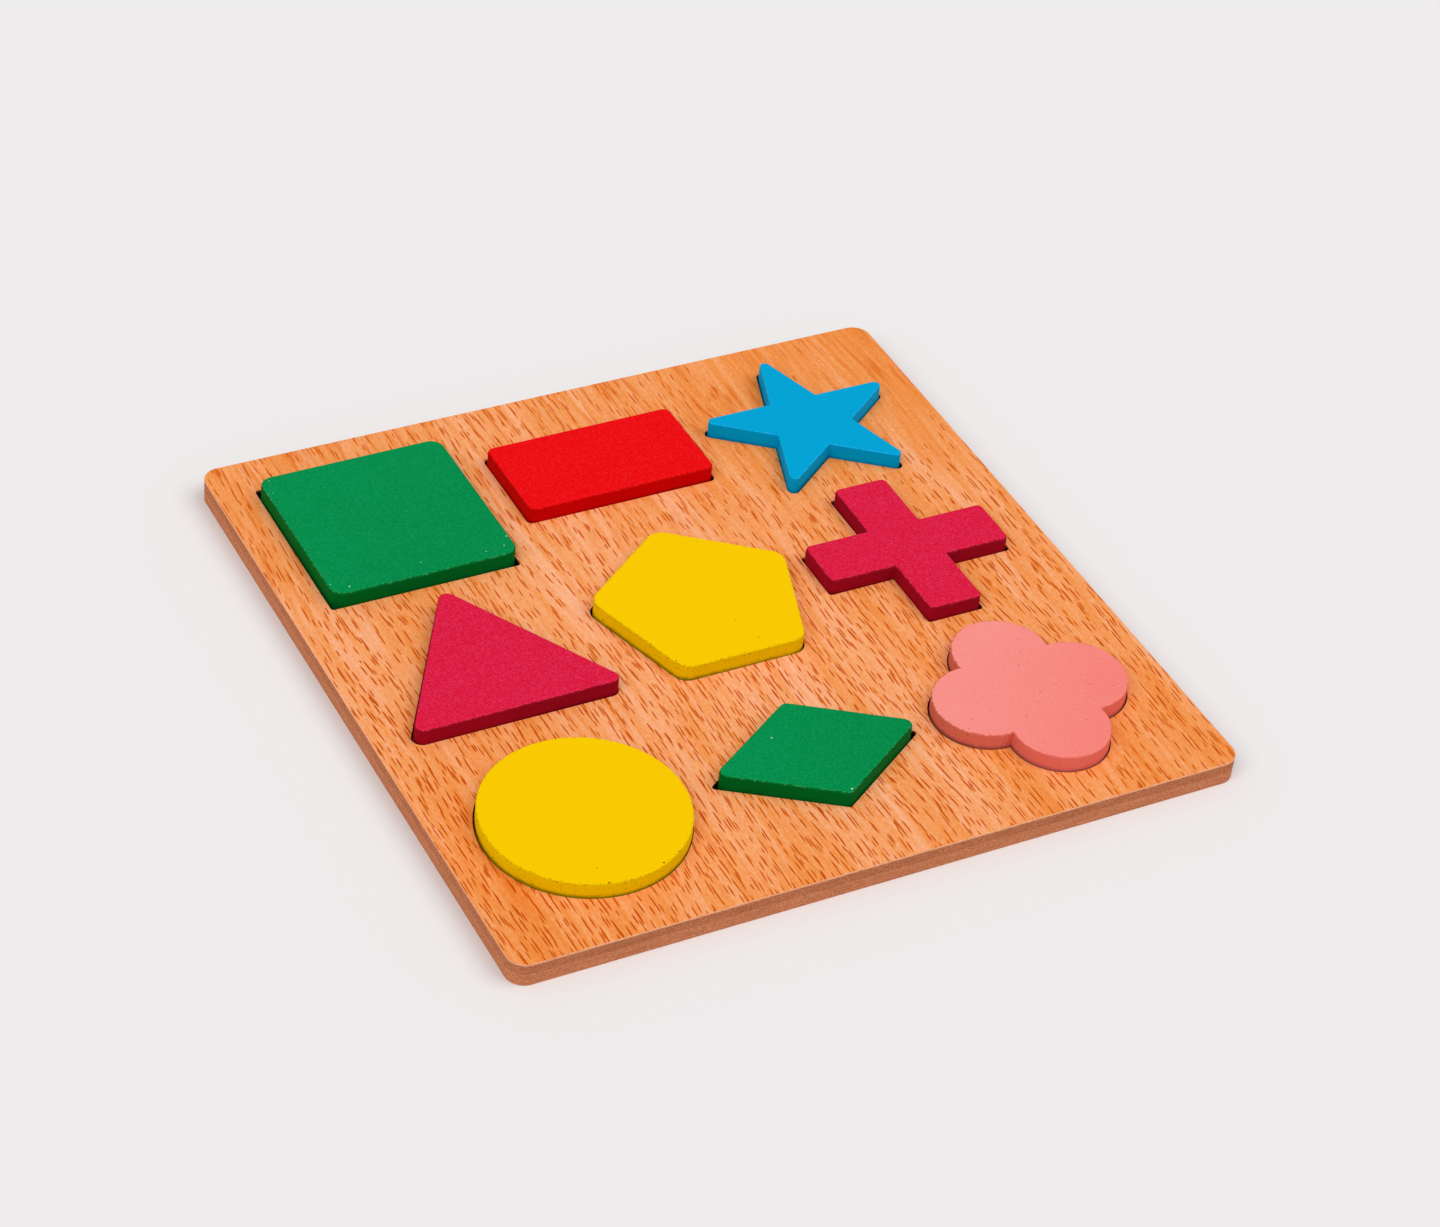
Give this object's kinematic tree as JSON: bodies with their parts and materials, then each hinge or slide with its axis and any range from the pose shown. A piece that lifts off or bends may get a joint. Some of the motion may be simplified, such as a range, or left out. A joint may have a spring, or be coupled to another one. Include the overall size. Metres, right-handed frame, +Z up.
{
  "type": "wooden shape puzzle",
  "caption": "Square wooden inset board whose painted flat shapes lie in matching recesses and lift out for a child to sort and fit back.",
  "frame": {"origin": "under the middle of the board, on the flat face that it rests on", "axes": "+Z up out of the recesses, +X along the front edge to the right, +Y from the front row of shapes to the back row"},
  "size_m": [0.225, 0.225, 0.0124],
  "materials": {
    "fibreboard": "bare sawn fibreboard",
    "beech_veneer": "satin lacquered beech",
    "green_paint": "satin paint on wood board",
    "red_paint": "satin paint on wood board",
    "blue_paint": "satin paint on wood board",
    "crimson_paint": "satin paint on wood board",
    "yellow_paint": "satin paint on wood board",
    "pink_paint": "satin paint on wood board"
  },
  "bodies": {
    "board": {"base_board": "fibreboard", "frame_board": "fibreboard", "face_veneer": "beech_veneer"},
    "square": {"green_square": "green_paint"},
    "rectangle": {"red_rectangle": "red_paint"},
    "star": {"blue_star": "blue_paint"},
    "triangle": {"crimson_triangle": "crimson_paint"},
    "pentagon": {"yellow_pentagon": "yellow_paint"},
    "cross": {"crimson_cross": "crimson_paint"},
    "disc": {"yellow_disc": "yellow_paint"},
    "rhombus": {"green_rhombus": "green_paint"},
    "flower": {"pink_flower": "pink_paint"}
  },
  "joints": [
    {"name": "square_lift", "type": "slide", "parent": "board", "child": "square", "axis": [0, 0, 1], "range_m": [0, 0.03]},
    {"name": "rectangle_lift", "type": "slide", "parent": "board", "child": "rectangle", "axis": [0, 0, 1], "range_m": [0, 0.03]},
    {"name": "star_lift", "type": "slide", "parent": "board", "child": "star", "axis": [0, 0, 1], "range_m": [0, 0.03]},
    {"name": "triangle_lift", "type": "slide", "parent": "board", "child": "triangle", "axis": [0, 0, 1], "range_m": [0, 0.03]},
    {"name": "pentagon_lift", "type": "slide", "parent": "board", "child": "pentagon", "axis": [0, 0, 1], "range_m": [0, 0.03]},
    {"name": "cross_lift", "type": "slide", "parent": "board", "child": "cross", "axis": [0, 0, 1], "range_m": [0, 0.03]},
    {"name": "disc_lift", "type": "slide", "parent": "board", "child": "disc", "axis": [0, 0, 1], "range_m": [0, 0.03]},
    {"name": "rhombus_lift", "type": "slide", "parent": "board", "child": "rhombus", "axis": [0, 0, 1], "range_m": [0, 0.03]},
    {"name": "flower_lift", "type": "slide", "parent": "board", "child": "flower", "axis": [0, 0, 1], "range_m": [0, 0.03]}
  ]
}
